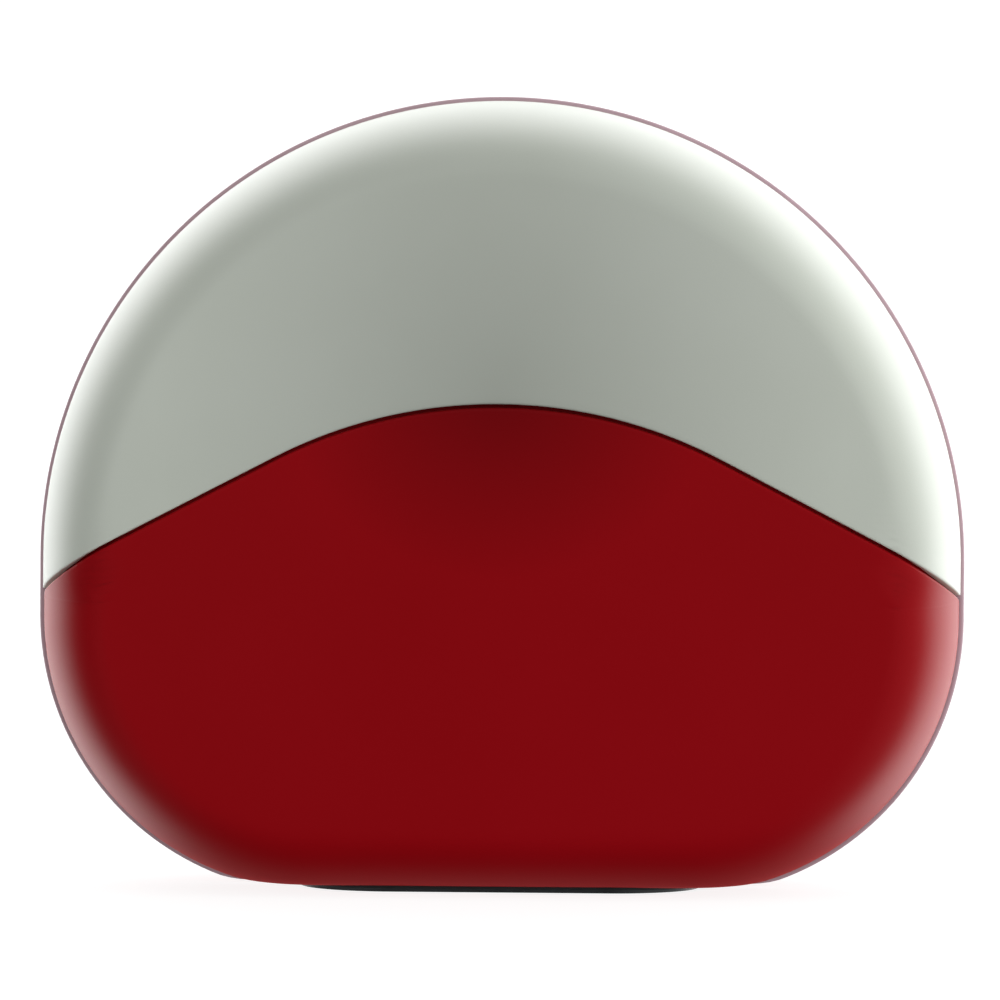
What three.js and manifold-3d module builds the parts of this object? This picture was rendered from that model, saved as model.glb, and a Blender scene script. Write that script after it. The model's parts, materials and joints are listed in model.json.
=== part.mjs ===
// A fishing float: a flattened pebble of four moulded shells on a flat standing base, with a
// swivelling line hook and a spring-loaded line button in the base.
// Millimetres, +Z up. The origin is the middle of the standing base. The front faces -Y.

import * as THREE from 'three';
import { LoftGeometry } from 'three/addons/geometries/LoftGeometry.js';
import { mergeVertices } from 'three/addons/utils/BufferGeometryUtils.js';
import Module from 'manifold-3d';

const wasm = await Module();
wasm.setup();

const { degToRad } = THREE.MathUtils;
const quarterTurn = Math.PI / 2;

// ---------------------------------------------------------------- driving sizes

// The body.
const bodyWidth = 75.4; // across the shells, without the rim seal
const bodyHeight = 64.6; // from the standing base to the crown
const bodyDepth = 36.4; // front to back through the middle of the faces
const lowerCorner = 22.7; // radius of the lower corners
const baseCut = 0.8; // how much of the rounded underside the flat takes off
const plateProud = 0.3; // how far the base plate stands out of the shells' flat underside
const edgeRoll = 5.6; // width of the rounded edge, across the face
const crown = 2.6; // how far the middle of a face stands out past its edges
const wall = 1.8; // shell thickness

// The seam between the upper and lower shells: an arch with a straight flank on each side.
const seamPeak = 40.3; // height of the arch's top
const seamRadius = 39.5; // radius of the arch
const seamSlope = degToRad(27.2); // fall of the flanks
const seamWrap = degToRad(6); // fall of the seam as it goes round the edge to the parting plane
const seamGap = 0.3; // open groove between the two shells
const lipHeight = 2.6; // how far the lower shell's lip stands up behind the upper shell

// The parting plane.
const sealThickness = 0.8;
const sealProud = 0.3; // how far the seal stands out of the shells
const sealDepth = 2.6; // how far it reaches in
const sealGap = 0.2;
const frameThickness = 2.4;
const frameRim = 4.5; // width of the frame's outer band
const beamHeight = 4; // of the frame's two cross beams

// Screws from the rear into the front shells.
const lowerPostInset = 10.3; // from the outline to a lower post's middle
const upperPostX = 20; // from the middle; upper posts stand halfway from the seam to the rim
const lowerPostAngle = degToRad(-25); // round a lower corner's centre
const frontPostRadius = 3;
const rearPostRadius = 3.8;
const eyeletRadius = 4;
const shellScrewShaft = 1.25;
const shellScrewHead = 2.2;
const shellScrewHeadHeight = 1.5;
const socketDepth = 0.8; // hexagon sockets of all the screws
const tipCover = 3.6; // from the front face's edge plane to a screw's tip
const pilotRoom = 1; // blind hole past a screw's tip
const headSink = 2.2; // from the face's edge plane down to the screw's seat
const washerThickness = 0.5;

// The base plate and its well.
const plateHalfLength = 16.4;
const plateRim = 0.6; // plate left outside the well's mouth
const plateThickness = 1.8;
const sealRing = 0.6; // thickness of the ring seal round the plate
const wellRadius = 6.2;
const mouthStep = 0.6; // the well's mouth is this much wider, for the stop ring
const wellWall = 1;
const wellRoof = 1.4;
const baseScrewX = 12.3;
const baseScrewShaft = 1.1;
const baseScrewHead = 2;
const baseScrewGrip = 7.8; // how far the screws reach past the ballast
const standoffRadius = 3;
const standoffHeight = 1.3; // above the plate

// The ballast.
const ballastHalfLength = 23;
const ballastHalfWidth = 10.5;
const ballastHeight = 4.8;

// The line clip, all on the upright axis.
const rodRadius = 0.8;
const hookBend = 1.9; // radius of the hook's bend, at the wire's middle
const hookBottom = 1.2; // underside of the hook above the ground
const hookTipLength = 2.1; // straight end of the hook above its bend
const noseStep = 0.7; // the button's lower end is this much narrower
const buttonBottom = 0.8;
const noseTop = 1.9;
const buttonTop = 9;
const buttonTravel = 5.5;
const slotClearance = 0.35; // round the hook's wire in the button
const spigotRadius = 3;
const spigotHeight = 1;
const stopRingHeight = 1.3;
const tubeOuter = 2.5;
const tubeInner = 1.1;
const tubeStand = 0.5; // how far the tube stands out of the frame's column
const columnWall = 1; // of the column, outside the O-ring
const oringWire = 0.55; // radius of the O-ring's section
const collarHeight = 2.8;
const collarRadius = 2.3;
const washerHeight = 0.6;
const capWall = 1;
const capRoom = 1; // between the collar and the cap
const capHeadroom = 7.5; // between the cap and the frame's band
const clipClearance = 2.5; // from the pushed button to the retaining clip
const clipDrop = 1.3; // from the retaining clip to the guide tube's lower end
const clipRadius = 2.1;
const clipThickness = 0.5;
const springRadius = 4; // at the wire's middle
const springWire = 0.3; // radius of the wire
const springTurns = 6;

// The foam.
const foamGap = 0.5; // between the foam and the shells
const foamClearance = 0.5; // round everything that passes through the foam

// Clearances.
const touch = 0.3; // between pieces that rest on each other
const fitGap = 0.2; // round a screw or a turned part in its hole

// ---------------------------------------------------------------- derived sizes

const domeRadius = bodyWidth / 2;
const domeZ = bodyHeight - domeRadius;
const roundBottom = plateProud - baseCut; // where the rounded underside would end
const cornerRadius = Math.min(lowerCorner, domeZ - roundBottom);
const cornerX = domeRadius - cornerRadius;
const cornerZ = roundBottom + cornerRadius;
const middleZ = (bodyHeight + roundBottom) / 2;
const edgeDepth = bodyDepth / 2 - crown; // half-depth where a face meets its rounded edge
const shellFace = sealThickness / 2 + sealGap; // where a shell stops short of the parting plane
const frameFace = frameThickness / 2;
const postEnd = frameFace + touch;
const lipInset = (wall + touch) / 2;
const far = 2 * (bodyWidth + bodyHeight + bodyDepth); // well past the body on every side
const seatY = edgeDepth - headSink; // where the shell screws' washers sit
const screwTipY = tipCover - edgeDepth;
const wellOuter = wellRadius + wellWall;
const mouthRadius = wellRadius + mouthStep;
const plateHalfWidth = mouthRadius + plateRim;
const standoffTop = plateThickness + standoffHeight;
const ballastBottom = standoffTop + touch;
const ballastTop = ballastBottom + ballastHeight;
const baseScrewTop = ballastTop + baseScrewGrip;
const buttonRadius = wellRadius - touch;
const buttonNose = buttonRadius - noseStep;
const clipBottom = buttonTop + spigotHeight + buttonTravel + clipClearance;
const roofUnderside = clipBottom + clipThickness + clipDrop;
const wellHeight = roofUnderside + wellRoof;
const bandBottom = bodyHeight - sealDepth - touch - frameRim;
const capStack = 4 * touch + washerHeight + collarHeight + capWall;
const tubeTop = bandBottom - capHeadroom - capStack;
const beamBottom = wellHeight + touch;
const beamTop = beamBottom + beamHeight;
const columnTop = tubeTop - tubeStand;
const oringRadius = tubeOuter + fitGap + oringWire; // at the middle of its section
const oringSeat = oringRadius + oringWire + fitGap;
const columnRadius = oringSeat + columnWall;
const collarBottom = tubeTop + touch + washerHeight + touch;
const rodTop = collarBottom + collarHeight + touch;
const capRadius = collarRadius + capRoom;
const capTop = rodTop + touch + capWall;
const hookZ = hookBottom + rodRadius + hookBend;
const hookTip = hookZ + hookTipLength;

const front = -1;
const rear = 1;
const left = -1;
const right = 1;

// ---------------------------------------------------------------- solids

// A closed geometry as a manifold solid.
function solidOf(geometry) {
  geometry.deleteAttribute('normal');
  geometry.deleteAttribute('uv');
  const merged = mergeVertices(geometry, 1e-4);
  return new wasm.Manifold(new wasm.Mesh({
    numProp: 3,
    vertProperties: merged.attributes.position.array,
    triVerts: merged.index.array,
  }));
}

function joined(solids) {
  return solids.reduce((whole, solid) => whole.add(solid));
}

function box(x0, x1, y0, y1, z0, z1) {
  const geometry = new THREE.BoxGeometry(x1 - x0, y1 - y0, z1 - z0);
  return solidOf(geometry.translate((x0 + x1) / 2, (y0 + y1) / 2, (z0 + z1) / 2));
}

// Everything further from the parting plane than a start, on one side of it.
function beyond(side, start) {
  return side > 0 ? box(-far, far, start, far, -far, far) : box(-far, far, -far, -start, -far, far);
}

// Everything above a height.
function above(z) {
  return box(-far, far, -far, far, z, far);
}

function upright(radius, z0, z1, x = 0, y = 0, sides = 28) {
  const geometry = new THREE.CylinderGeometry(radius, radius, z1 - z0, sides);
  return solidOf(geometry.rotateX(quarterTurn).translate(x, y, (z0 + z1) / 2));
}

// A cylinder that runs front to back through the point (x, z).
function crosswise(radius, y0, y1, [x, z], sides = 16) {
  const geometry = new THREE.CylinderGeometry(radius, radius, Math.abs(y1 - y0), sides);
  return solidOf(geometry.translate(x, (y0 + y1) / 2, z));
}

function uprightRing(inner, outer, z0, z1, sides = 28) {
  return upright(outer, z0, z1, 0, 0, sides).subtract(upright(inner, z0 - 1, z1 + 1, 0, 0, sides));
}

// A flat bar with round ends, upright.
function stadium(halfLength, halfWidth, z0, z1) {
  const straight = halfLength - halfWidth;
  const shape = new THREE.Shape();
  shape.absarc(straight, 0, halfWidth, -quarterTurn, quarterTurn);
  shape.absarc(-straight, 0, halfWidth, quarterTurn, 3 * quarterTurn);
  const geometry = new THREE.ExtrudeGeometry(shape, {
    depth: z1 - z0,
    bevelEnabled: false,
    curveSegments: 8,
  });
  return solidOf(geometry.translate(0, 0, z0));
}

// A wire of round section along a curve.
function wire(curve, radius, steps, sides) {
  const section = new THREE.Shape();
  section.absarc(0, 0, radius, 0, 2 * Math.PI);
  const geometry = new THREE.ExtrudeGeometry(section, {
    steps,
    extrudePath: curve,
    curveSegments: sides / 2,
  });
  return solidOf(geometry);
}

// ---------------------------------------------------------------- the body's form

const fine = { corner: 7, dome: 20, roll: 5, cap: 3 };
const coarse = { corner: 5, dome: 14, roll: 3, cap: 2 };

// The body's outline in an upright plane, drawn in by an inset, anticlockwise from the front.
function outline(inset, detail) {
  const points = [];
  const arc = (x, z, radius, from, to, steps) => {
    for (let i = 0; i <= steps; i++) {
      const angle = from + (to - from) * i / steps;
      points.push(new THREE.Vector2(x + radius * Math.cos(angle), z + radius * Math.sin(angle)));
    }
  };
  arc(cornerX, cornerZ, cornerRadius - inset, -quarterTurn, 0, detail.corner);
  arc(0, domeZ, domeRadius - inset, 0, Math.PI, detail.dome);
  arc(-cornerX, cornerZ, cornerRadius - inset, Math.PI, 3 * quarterTurn, detail.corner);
  return points;
}

// The whole rounded body, drawn in by an inset: an elliptical edge round two crowned faces.
// The edge's angle runs from -90 degrees at the front face, through 0 in the parting plane, to 90
// at the rear face.
function pebble(inset, detail = fine) {
  const stations = [];
  for (let i = 1; i < detail.cap; i++) {
    stations.push({ angle: quarterTurn, scale: i / detail.cap });
  }
  for (let i = detail.roll; i >= -detail.roll; i--) {
    stations.push({ angle: quarterTurn * i / detail.roll, scale: 1 });
  }
  for (let i = detail.cap - 1; i >= 1; i--) {
    stations.push({ angle: -quarterTurn, scale: i / detail.cap });
  }
  const sections = stations.map(({ angle, scale }) => {
    const drawnIn = inset + (edgeRoll - inset) * (1 - Math.cos(angle));
    return outline(drawnIn, detail).map((point) => {
      const x = point.x * scale;
      const z = middleZ + (point.y - middleZ) * scale;
      const fromMiddle = (x / domeRadius) ** 2 + ((z - middleZ) / (bodyHeight - middleZ)) ** 2;
      const depth = edgeDepth - inset + crown * (1 - fromMiddle);
      return new THREE.Vector3(x, depth * Math.sin(angle), z);
    });
  });
  const loft = new LoftGeometry(sections, { capStart: true, capEnd: true });
  return solidOf(new THREE.BufferGeometry().copy(loft));
}

// A flat plate in the parting plane with the body's outline.
function outlinePlate(inset, halfThickness) {
  const geometry = new THREE.ExtrudeGeometry(new THREE.Shape(outline(inset, fine)), {
    depth: 2 * halfThickness,
    bevelEnabled: false,
  });
  return solidOf(geometry.rotateX(quarterTurn).translate(0, halfThickness, 0));
}

// Height of the seam on the middle of a face, at a distance from the middle.
const seamTangentX = seamRadius * Math.sin(seamSlope);

function seamHeight(x) {
  const reach = Math.min(x, seamTangentX);
  const arch = seamPeak - seamRadius + Math.sqrt(seamRadius ** 2 - reach ** 2);
  return arch - (x - reach) * Math.tan(seamSlope);
}

// Everything above the seam on one side of the parting plane, raised by a given height.
function aboveSeam(side, raised) {
  const archZ = seamPeak - seamRadius;
  const shape = new THREE.Shape();
  shape.moveTo(-far, seamHeight(far));
  shape.lineTo(-seamTangentX, seamHeight(seamTangentX));
  shape.absarc(0, archZ, seamRadius, quarterTurn + seamSlope, quarterTurn - seamSlope, true);
  shape.lineTo(far, seamHeight(far));
  shape.lineTo(far, far);
  shape.lineTo(-far, far);
  const geometry = new THREE.ExtrudeGeometry(shape, {
    depth: bodyDepth,
    bevelEnabled: false,
    curveSegments: 9,
  });
  const fall = Math.tan(seamWrap);
  const wrap = new THREE.Matrix4().set(
    1, 0, 0, 0,
    0, 1, 0, 0,
    0, -fall, 1, raised - fall * bodyDepth / 2,
    0, 0, 0, 1,
  );
  geometry.rotateX(quarterTurn).applyMatrix4(wrap);
  return solidOf(side === front ? geometry : geometry.rotateZ(Math.PI));
}

// The point of a shell screw: upper or lower, on the left or the right.
function postPlace(isUpper, hand) {
  if (isUpper) {
    const rimZ = domeZ + Math.sqrt(domeRadius ** 2 - upperPostX ** 2);
    return [hand * upperPostX, (seamHeight(upperPostX) + rimZ) / 2];
  }
  const reach = cornerRadius - lowerPostInset;
  const x = cornerX + reach * Math.cos(lowerPostAngle);
  return [hand * x, cornerZ + reach * Math.sin(lowerPostAngle)];
}

// ---------------------------------------------------------------- shells

const body = pebble(0).intersect(above(plateProud));
const hollow = pebble(wall);
const postSpace = pebble(wall / 2);
const baseOpening = stadium(
  plateHalfLength + sealRing + 2 * fitGap,
  plateHalfWidth + sealRing + 2 * fitGap,
  -1,
  standoffTop,
);

// One quarter of the casing. At the seam the lower shell's lip stands up behind the upper shell.
function shell(side, isUpper) {
  const lap = pebble(isUpper ? lipInset - touch : lipInset);
  const lapBelow = lap.subtract(aboveSeam(side, lipHeight + (isUpper ? touch : 0)));
  const form = isUpper
    ? body.intersect(aboveSeam(side, seamGap / 2)).subtract(lapBelow)
    : body.subtract(aboveSeam(side, -seamGap / 2)).add(lapBelow);
  let piece = form.subtract(hollow).subtract(baseOpening);
  const postRadius = side === front ? frontPostRadius : rearPostRadius;
  const places = [left, right].map((hand) => postPlace(isUpper, hand));
  for (const place of places) {
    const post = crosswise(postRadius, side * postEnd, side * bodyDepth, place);
    piece = piece.add(post.intersect(postSpace));
  }
  piece = piece.intersect(beyond(side, shellFace));
  for (const place of places) {
    const holeEnd = side === front ? screwTipY - pilotRoom : bodyDepth;
    piece = piece.subtract(crosswise(shellScrewShaft + fitGap, 0, holeEnd, place));
    if (side === rear) {
      piece = piece.subtract(crosswise(shellScrewHead + touch, seatY, bodyDepth, place));
    }
  }
  return piece;
}

// A screw along -Y: head, shaft and hexagon socket.
function shellScrew(place) {
  const headBottom = seatY + fitGap + washerThickness + fitGap;
  const headTop = headBottom + shellScrewHeadHeight;
  const shaft = crosswise(shellScrewShaft, headTop - 1, screwTipY, place);
  const head = crosswise(shellScrewHead, headBottom, headTop, place);
  const socket = crosswise(shellScrewHead / 2, headTop - socketDepth, headTop + 1, place, 6);
  return shaft.add(head).subtract(socket);
}

function screwWasher(place) {
  const bottom = seatY + fitGap;
  const disc = crosswise(shellScrewHead, bottom, bottom + washerThickness, place);
  return disc.subtract(crosswise(shellScrewShaft + fitGap, 0, bodyDepth, place));
}

// ---------------------------------------------------------------- parting plane

function rimSeal() {
  const ring = outlinePlate(-sealProud, sealThickness / 2)
    .subtract(outlinePlate(sealDepth, sealThickness));
  return ring.intersect(above(plateProud)).subtract(baseOpening);
}

// The frame: an outer band, two cross beams, the column that holds the guide tube, two pillars
// that take the base screws, and an eyelet for each shell screw.
function innerFrame() {
  const outerInset = sealDepth + touch;
  const plate = outlinePlate(outerInset, frameFace);
  const beams = joined([
    box(-far, far, -frameFace, frameFace, beamBottom, beamTop),
    box(-far, far, -frameFace, frameFace, columnTop - beamHeight, columnTop),
  ]);
  let frame = plate.subtract(outlinePlate(outerInset + frameRim, far)).add(beams.intersect(plate));
  const pillarBottom = ballastTop + touch;
  frame = frame.intersect(above(pillarBottom));
  frame = frame.add(upright(columnRadius, beamBottom, columnTop));
  for (const hand of [left, right]) {
    const pillarX = hand * baseScrewX;
    frame = frame.add(upright(standoffRadius, pillarBottom, beamTop, pillarX));
    frame = frame.subtract(upright(baseScrewShaft + fitGap, 0, baseScrewTop + 1, pillarX));
    for (const isUpper of [true, false]) {
      const place = postPlace(isUpper, hand);
      frame = frame.add(crosswise(eyeletRadius, -frameFace, frameFace, place));
      frame = frame.subtract(crosswise(shellScrewShaft + fitGap, -far, far, place));
    }
  }
  const seatTop = wellHeight + 2 * oringWire + 2 * fitGap;
  return frame.subtract(upright(tubeOuter + fitGap, 0, far)).subtract(upright(oringSeat, 0, seatTop));
}

// Half of the foam filling, hollowed for everything that runs through it.
function foamCore(side) {
  const clear = foamClearance;
  const posts = [];
  for (const hand of [left, right]) {
    for (const isUpper of [true, false]) {
      posts.push(crosswise(rearPostRadius + clear, -far, far, postPlace(isUpper, hand)));
    }
    posts.push(upright(standoffRadius + clear, 0, beamTop + clear, hand * baseScrewX, 0, 16));
  }
  return pebble(wall + foamGap, coarse)
    .intersect(beyond(side, postEnd))
    .intersect(above(ballastTop + clear))
    .subtract(joined(posts))
    .subtract(upright(wellOuter + clear, 0, wellHeight + clear))
    .subtract(upright(columnRadius + clear, 0, capTop + clear));
}

// ---------------------------------------------------------------- base

function basePlate() {
  let plate = stadium(plateHalfLength, plateHalfWidth, 0, plateThickness)
    .add(upright(wellOuter, 0, wellHeight))
    .subtract(upright(wellRadius, -1, roofUnderside))
    .subtract(upright(mouthRadius, -1, plateThickness))
    .subtract(upright(tubeOuter + fitGap, 0, far));
  for (const hand of [left, right]) {
    const x = hand * baseScrewX;
    plate = plate.add(upright(standoffRadius, 0, standoffTop, x))
      .subtract(upright(baseScrewShaft + fitGap, -1, far, x))
      .subtract(upright(baseScrewHead + touch, -1, plateThickness, x));
  }
  return plate;
}

function baseSeal() {
  const outer = stadium(
    plateHalfLength + fitGap + sealRing,
    plateHalfWidth + fitGap + sealRing,
    touch,
    plateThickness - touch,
  );
  return outer.subtract(stadium(plateHalfLength + fitGap, plateHalfWidth + fitGap, -1, far));
}

function baseScrew(hand) {
  const x = hand * baseScrewX;
  const headTop = plateThickness - fitGap;
  return upright(baseScrewHead, touch, headTop, x)
    .add(upright(baseScrewShaft, touch, baseScrewTop, x))
    .subtract(upright(baseScrewHead / 2, -1, touch + socketDepth, x, 0, 6));
}

function ballastWeight() {
  let weight = stadium(ballastHalfLength, ballastHalfWidth, ballastBottom, ballastTop)
    .intersect(pebble(wall + touch))
    .intersect(outlinePlate(sealDepth + touch, far))
    .subtract(upright(wellOuter + touch, 0, far));
  for (const hand of [left, right]) {
    weight = weight.subtract(upright(baseScrewShaft + fitGap, 0, far, hand * baseScrewX));
  }
  return weight;
}

// ---------------------------------------------------------------- line clip

function buttonStopRing() {
  const inner = buttonNose + touch;
  return uprightRing(inner, mouthRadius - fitGap, fitGap, fitGap + stopRingHeight);
}

function lineButton() {
  const hole = rodRadius + slotClearance;
  const slot = rodRadius + fitGap;
  const slotTop = hookZ + rodRadius;
  const spigotTop = buttonTop + spigotHeight;
  return upright(buttonNose, buttonBottom, buttonTop)
    .add(upright(buttonRadius, noseTop, buttonTop))
    .add(upright(spigotRadius, buttonTop - 1, spigotTop))
    .subtract(box(-rodRadius, buttonRadius + 1, -slot, slot, 0, slotTop))
    .subtract(upright(hole, 0, spigotTop + 1, 0, 0, 12))
    .subtract(upright(hole, 0, hookTip + touch, 2 * hookBend, 0, 12));
}

// Straight down the axis, round the bend and up to the tip.
class HookCurve extends THREE.Curve {
  constructor(start) {
    super();
    this.start = start;
  }

  getPoint(t, target = new THREE.Vector3()) {
    const down = this.start - hookZ;
    const round = Math.PI * hookBend;
    const along = t * (down + round + hookTipLength);
    if (along < down) {
      return target.set(0, 0, this.start - along);
    }
    if (along < down + round) {
      const angle = (along - down) / hookBend;
      return target.set(hookBend * (1 - Math.cos(angle)), 0, hookZ - hookBend * Math.sin(angle));
    }
    return target.set(2 * hookBend, 0, hookZ + along - down - round);
  }
}

function hookRod() {
  const join = hookTip;
  const straight = upright(rodRadius, join, rodTop, 0, 0, 10);
  return straight.add(wire(new HookCurve(join + 1), rodRadius, 20, 10));
}

function tubeOring() {
  const geometry = new THREE.TorusGeometry(oringRadius, oringWire, 8, 24);
  return solidOf(geometry.translate(0, 0, wellHeight + fitGap + oringWire));
}

function retainingClip() {
  const gapAngle = degToRad(40);
  const shape = new THREE.Shape();
  shape.absarc(0, 0, clipRadius, gapAngle, 2 * Math.PI - gapAngle);
  shape.absarc(0, 0, rodRadius + fitGap, 2 * Math.PI - gapAngle, gapAngle, true);
  const geometry = new THREE.ExtrudeGeometry(shape, {
    depth: clipThickness,
    bevelEnabled: false,
    curveSegments: 9,
  });
  return solidOf(geometry.translate(0, 0, clipBottom));
}

function swivelCap() {
  return upright(capRadius + capWall, columnTop + touch, capTop)
    .subtract(upright(capRadius, 0, capTop - capWall));
}

class SpringCurve extends THREE.Curve {
  getPoint(t, target = new THREE.Vector3()) {
    const low = buttonTop + touch + springWire;
    const high = roofUnderside - touch - springWire;
    const angle = 2 * Math.PI * springTurns * t;
    const x = springRadius * Math.cos(angle);
    const y = springRadius * Math.sin(angle);
    return target.set(x, y, low + (high - low) * t);
  }
}

// ---------------------------------------------------------------- assembly

const finishes = {
  pale: new THREE.MeshStandardMaterial({ color: 0xdde3da, roughness: 0.42, metalness: 0 }),
  red: new THREE.MeshStandardMaterial({ color: 0x9c0f18, roughness: 0.4, metalness: 0 }),
  mauve: new THREE.MeshStandardMaterial({ color: 0x8a7078, roughness: 0.6, metalness: 0 }),
  black: new THREE.MeshStandardMaterial({ color: 0x24262a, roughness: 0.55, metalness: 0 }),
  rubber: new THREE.MeshStandardMaterial({ color: 0x1b1b1d, roughness: 0.8, metalness: 0 }),
  foam: new THREE.MeshStandardMaterial({ color: 0xf1f1ec, roughness: 0.9, metalness: 0 }),
  zinc: new THREE.MeshStandardMaterial({ color: 0x8d9094, roughness: 0.6, metalness: 0.9 }),
  steel: new THREE.MeshStandardMaterial({ color: 0xc2c4c6, roughness: 0.3, metalness: 1 }),
  brass: new THREE.MeshStandardMaterial({ color: 0xc9a35a, roughness: 0.35, metalness: 1 }),
  white: new THREE.MeshStandardMaterial({ color: 0xe9e9e4, roughness: 0.5, metalness: 0 }),
};

const group = new THREE.Group();

function add(name, solid, finish) {
  const { vertProperties, triVerts } = solid.getMesh();
  const geometry = new THREE.BufferGeometry();
  geometry.setAttribute('position', new THREE.BufferAttribute(vertProperties, 3));
  geometry.setIndex(new THREE.BufferAttribute(triVerts, 1));
  geometry.computeVertexNormals();
  const mesh = new THREE.Mesh(geometry, finish);
  mesh.name = name;
  group.add(mesh);
}

add('upper_front_shell', shell(front, true), finishes.pale);
add('lower_front_shell', shell(front, false), finishes.red);
add('upper_rear_shell', shell(rear, true), finishes.pale);
add('lower_rear_shell', shell(rear, false), finishes.red);
add('rim_seal', rimSeal(), finishes.mauve);
add('inner_frame', innerFrame(), finishes.black);
add('foam_core_front', foamCore(front), finishes.foam);
add('foam_core_rear', foamCore(rear), finishes.foam);

const screwPlaces = [
  postPlace(true, left),
  postPlace(true, right),
  postPlace(false, left),
  postPlace(false, right),
];
screwPlaces.forEach((place, i) => {
  add(`shell_screw_${i + 1}`, shellScrew(place), finishes.steel);
  add(`screw_washer_${i + 1}`, screwWasher(place), finishes.rubber);
});

add('base_plate', basePlate(), finishes.black);
add('base_seal', baseSeal(), finishes.rubber);
add('base_screw_left', baseScrew(left), finishes.steel);
add('base_screw_right', baseScrew(right), finishes.steel);
add('ballast_weight', ballastWeight(), finishes.zinc);

add('button_stop_ring', buttonStopRing(), finishes.black);
add('line_button', lineButton(), finishes.white);
add('button_spring', wire(new SpringCurve(), springWire, 12 * springTurns, 6), finishes.steel);
add('hook_rod', hookRod(), finishes.steel);
add('retaining_clip', retainingClip(), finishes.steel);
add('guide_tube', uprightRing(tubeInner, tubeOuter, roofUnderside, tubeTop), finishes.brass);
add('tube_oring', tubeOring(), finishes.rubber);
add('thrust_washer',
  uprightRing(rodRadius + fitGap, tubeOuter, tubeTop + touch, tubeTop + touch + washerHeight),
  finishes.white);
add('rod_collar',
  uprightRing(rodRadius + fitGap, collarRadius, collarBottom, collarBottom + collarHeight),
  finishes.brass);
add('swivel_cap', swivelCap(), finishes.black);

export default group;
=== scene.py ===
# %% [markdown]
# # A line-clip fishing float
#
# The float is a flattened pebble, 76 mm wide, that stands on a small flat base. Four thin moulded
# shells close round a frame and a foam filling: two pale ones on top and two dark red ones below,
# and they meet front to back at a rubber rim seal. A stainless hook turns in the base, and a
# sprung button covers it until a line is to be clipped in.
#
# The CAD frame already holds every part in its place. This lesson makes the finely shaped shells
# and the small parts that show, gives every part its finish, and sets the light and the camera.

# %% Load the frame
import json
import math

import bmesh
import bpy
import numpy as np
from mathutils import Matrix, Vector

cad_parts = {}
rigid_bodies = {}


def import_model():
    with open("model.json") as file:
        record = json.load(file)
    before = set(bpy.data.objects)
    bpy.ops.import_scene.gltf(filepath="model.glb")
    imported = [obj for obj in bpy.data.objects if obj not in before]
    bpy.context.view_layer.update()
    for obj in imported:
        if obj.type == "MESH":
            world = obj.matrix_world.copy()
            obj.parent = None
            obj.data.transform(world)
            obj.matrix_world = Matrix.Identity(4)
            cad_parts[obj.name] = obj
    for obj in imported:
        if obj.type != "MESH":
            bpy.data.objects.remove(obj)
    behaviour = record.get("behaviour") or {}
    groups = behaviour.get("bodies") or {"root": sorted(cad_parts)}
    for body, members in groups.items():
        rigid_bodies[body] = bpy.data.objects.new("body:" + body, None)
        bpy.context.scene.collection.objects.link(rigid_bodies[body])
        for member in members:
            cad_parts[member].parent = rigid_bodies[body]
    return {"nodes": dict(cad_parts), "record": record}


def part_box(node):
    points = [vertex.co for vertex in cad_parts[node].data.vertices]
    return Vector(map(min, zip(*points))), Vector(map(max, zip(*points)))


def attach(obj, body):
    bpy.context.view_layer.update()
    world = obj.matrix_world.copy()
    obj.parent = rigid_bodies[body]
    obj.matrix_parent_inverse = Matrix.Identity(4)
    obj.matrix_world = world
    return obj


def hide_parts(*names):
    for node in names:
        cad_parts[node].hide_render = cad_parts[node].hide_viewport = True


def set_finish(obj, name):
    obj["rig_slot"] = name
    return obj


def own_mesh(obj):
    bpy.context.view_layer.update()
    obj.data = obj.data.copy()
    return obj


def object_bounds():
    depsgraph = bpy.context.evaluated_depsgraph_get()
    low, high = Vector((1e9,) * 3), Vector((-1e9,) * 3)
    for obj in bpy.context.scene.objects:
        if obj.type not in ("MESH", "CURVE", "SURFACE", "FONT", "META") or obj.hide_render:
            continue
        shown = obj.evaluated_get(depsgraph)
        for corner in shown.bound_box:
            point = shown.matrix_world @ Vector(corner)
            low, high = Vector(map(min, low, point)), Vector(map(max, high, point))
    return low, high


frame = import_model()
cad_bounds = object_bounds()
MM = 0.001
print("nodes:", len(frame["nodes"]), "CAD box:", [tuple(round(c / MM, 1) for c in v) for v in cad_bounds])

# %% [markdown]
# ## The camera
#
# A long lens from more than a metre away keeps the float's outline almost free of perspective. The
# eye is almost straight in front and a little above the middle, so the rim seal shows as a thin
# line round the outline. The camera goes in first, because everything later is judged through it.

# %% The camera
VIEW_AZIMUTH = math.radians(1.2)
VIEW_ELEVATION = math.radians(3)
VIEW_ROLL = math.radians(0.4)
VIEW_DISTANCE = 1.15
VIEW_WIDTH = 82.15 * MM  # what the frame takes in at the float
AIM = Vector((-0.2 * MM, 0, -0.7 * MM))  # from the middle of the float to the middle of the picture

cad_low, cad_high = cad_bounds
target = Vector((0, 0, (cad_low.z + cad_high.z) / 2)) + AIM
away = Vector((
    math.sin(VIEW_AZIMUTH) * math.cos(VIEW_ELEVATION),
    -math.cos(VIEW_AZIMUTH) * math.cos(VIEW_ELEVATION),
    math.sin(VIEW_ELEVATION),
))
camera_data = bpy.data.cameras.new("camera")
camera_data.lens = camera_data.sensor_width * VIEW_DISTANCE / VIEW_WIDTH
camera = bpy.data.objects.new("camera", camera_data)
bpy.context.collection.objects.link(camera)
turn = (-away).to_track_quat("-Z", "Y").to_matrix().to_4x4()
roll = Matrix.Rotation(VIEW_ROLL, 4, "Z")
camera.matrix_world = Matrix.Translation(target + away * VIEW_DISTANCE) @ turn @ roll
camera_data.clip_start = 0.1
camera_data.clip_end = 10
bpy.context.scene.camera = camera
print("lens:", round(camera_data.lens), "mm")

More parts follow.
